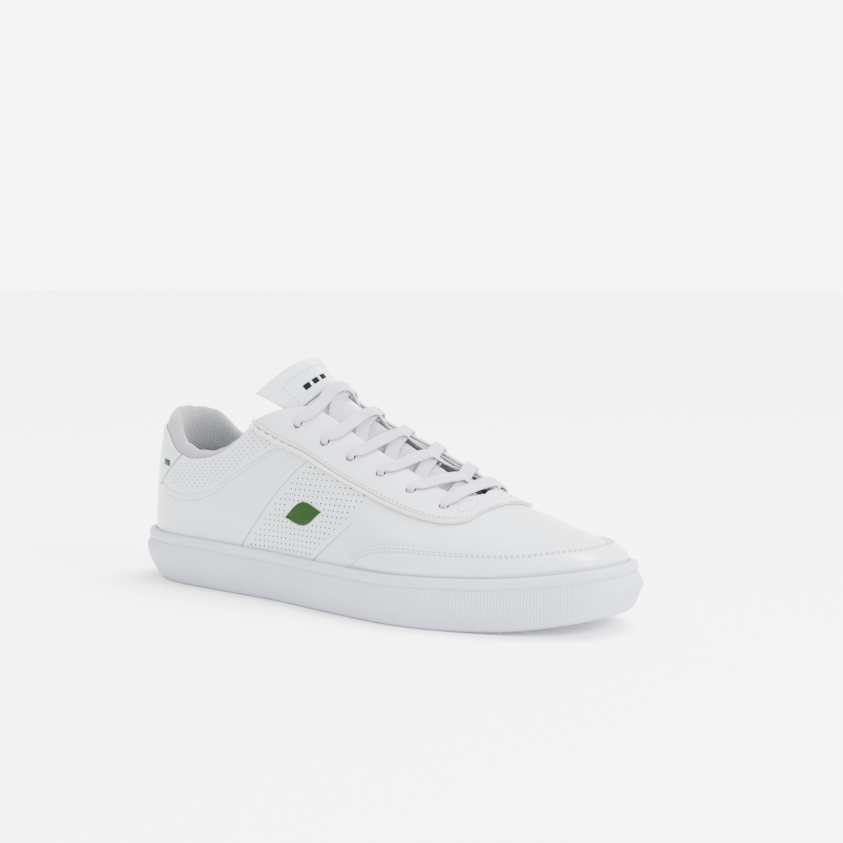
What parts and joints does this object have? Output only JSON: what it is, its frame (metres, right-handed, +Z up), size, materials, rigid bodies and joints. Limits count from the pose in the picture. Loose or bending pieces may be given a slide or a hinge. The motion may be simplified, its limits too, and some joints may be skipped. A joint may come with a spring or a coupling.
{
  "type": "court shoe",
  "caption": "Low lace-up white leather court shoe for the right foot, with perforated side panels, padded knit collar, mesh and leather tongue, flat laces and a ribbed rubber cupsole.",
  "frame": {"origin": "middle of the shoe's footprint box, on the ground", "axes": "+X from heel to toe, +Y from the outer (lateral) side to the inner (medial) side of the right foot, +Z up"},
  "size_m": [0.3, 0.1068, 0.1228],
  "materials": {
    "leather_white": "smooth",
    "leather_perforated": "smooth, perforated",
    "leather_piping": "smooth, rolled edge",
    "rubber_white": "satin",
    "foam_white": "foam",
    "footbed_textile": "woven",
    "knit_lining": "knit",
    "tongue_mesh": "fine mesh",
    "board_grey": "matt",
    "mark_green": "matt",
    "print_black": "matt",
    "lace_white": "flat woven",
    "aglet_plastic": "gloss"
  },
  "bodies": {
    "shoe": {"outsole_cup": "rubber_white", "midsole_foam": "foam_white", "insole_board": "board_grey", "vamp": "leather_white", "side_panel_lateral": "leather_perforated", "side_panel_medial": "leather_perforated", "quarter_lateral": "leather_white", "quarter_medial": "leather_white", "collar_panel_lateral": "leather_perforated", "collar_panel_medial": "leather_perforated", "heel_tab": "leather_white", "backstay": "leather_white", "mudguard": "leather_white", "eyestay": "leather_white", "eyestay_piping_lateral": "leather_piping", "eyestay_piping_medial": "leather_piping", "facing_lining_lateral": "knit_lining", "facing_lining_medial": "knit_lining", "toe_puff": "board_grey", "heel_counter": "board_grey", "vamp_lining": "knit_lining", "quarter_lining": "knit_lining", "collar_lining": "knit_lining", "collar_foam": "foam_white", "tongue_mesh": "tongue_mesh", "tongue_panel": "leather_white", "tongue_foam": "foam_white", "tongue_lining": "knit_lining", "side_leaf": "mark_green", "heel_bar": "mark_green", "lace": "lace_white", "aglet_lateral": "aglet_plastic", "aglet_medial": "aglet_plastic"},
    "tongue_flap": {"tongue_top": "leather_white", "tongue_top_foam": "foam_white", "tongue_top_lining": "knit_lining", "tongue_bar": "print_black"},
    "footbed_pad": {"footbed": "footbed_textile"}
  },
  "joints": [
    {"name": "tongue_fold", "type": "hinge", "parent": "shoe", "child": "tongue_flap", "pos_m": [-0.0285, 0.00227, 0.1105], "axis": [0, 1, 0], "range_deg": [0, 35], "stiffness_Nm_per_rad": 0.02},
    {"name": "footbed_lift", "type": "hinge", "parent": "shoe", "child": "footbed_pad", "pos_m": [0.134, 0, 0.028], "axis": [0, 1, 0], "range_deg": [0, 3.5]}
  ]
}
